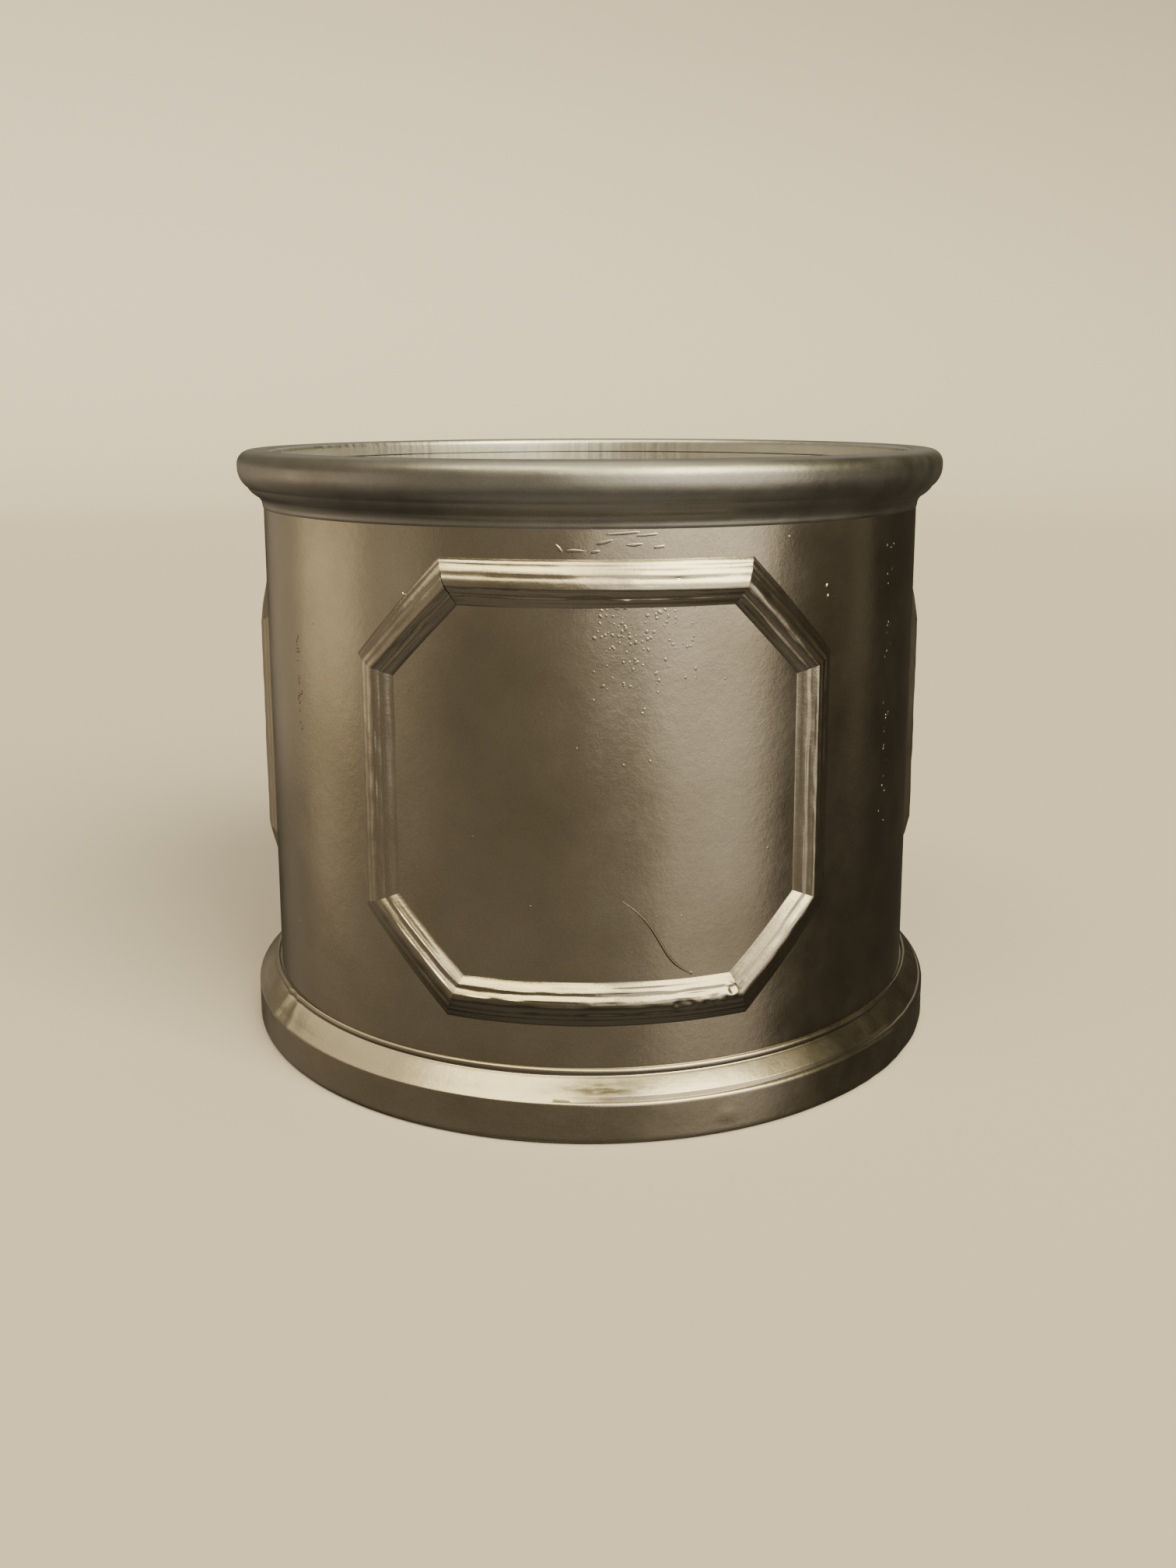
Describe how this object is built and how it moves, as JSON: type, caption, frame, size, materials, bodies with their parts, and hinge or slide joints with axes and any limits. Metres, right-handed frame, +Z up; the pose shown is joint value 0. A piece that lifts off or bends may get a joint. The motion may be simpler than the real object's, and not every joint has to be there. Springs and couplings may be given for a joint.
{
  "type": "candle tin",
  "caption": "Round open-topped candle tin with a moulded rim and plinth and eight-sided reeded panels on its wall, to be filled with wax.",
  "frame": {"origin": "on the tin's axis, in the plane of the underside that it rests on", "axes": "+Z up along the tin's axis, -Y out through the middle of the front panel, +X to the right as seen from the front"},
  "size_m": [0.1, 0.1, 0.082],
  "materials": {
    "wall": "satin warm pewter metallic paint",
    "bottom": "satin, lighter than the outside",
    "rim_moulding": "satin warm pewter metallic paint",
    "base_moulding": "satin warm pewter metallic paint",
    "strips": "satin warm pewter metallic paint"
  },
  "bodies": {
    "root": {"wall": "wall", "bottom": "bottom", "rim_moulding": "rim_moulding", "base_moulding": "base_moulding", "front_strip_top": "strips", "front_strip_top_right": "strips", "front_strip_right": "strips", "front_strip_bottom_right": "strips", "front_strip_bottom": "strips", "front_strip_bottom_left": "strips", "front_strip_left": "strips", "front_strip_top_left": "strips", "right_rear_strip_top": "strips", "right_rear_strip_top_right": "strips", "right_rear_strip_right": "strips", "right_rear_strip_bottom_right": "strips", "right_rear_strip_bottom": "strips", "right_rear_strip_bottom_left": "strips", "right_rear_strip_left": "strips", "right_rear_strip_top_left": "strips", "left_rear_strip_top": "strips", "left_rear_strip_top_right": "strips", "left_rear_strip_right": "strips", "left_rear_strip_bottom_right": "strips", "left_rear_strip_bottom": "strips", "left_rear_strip_bottom_left": "strips", "left_rear_strip_left": "strips", "left_rear_strip_top_left": "strips"}
  },
  "joints": []
}
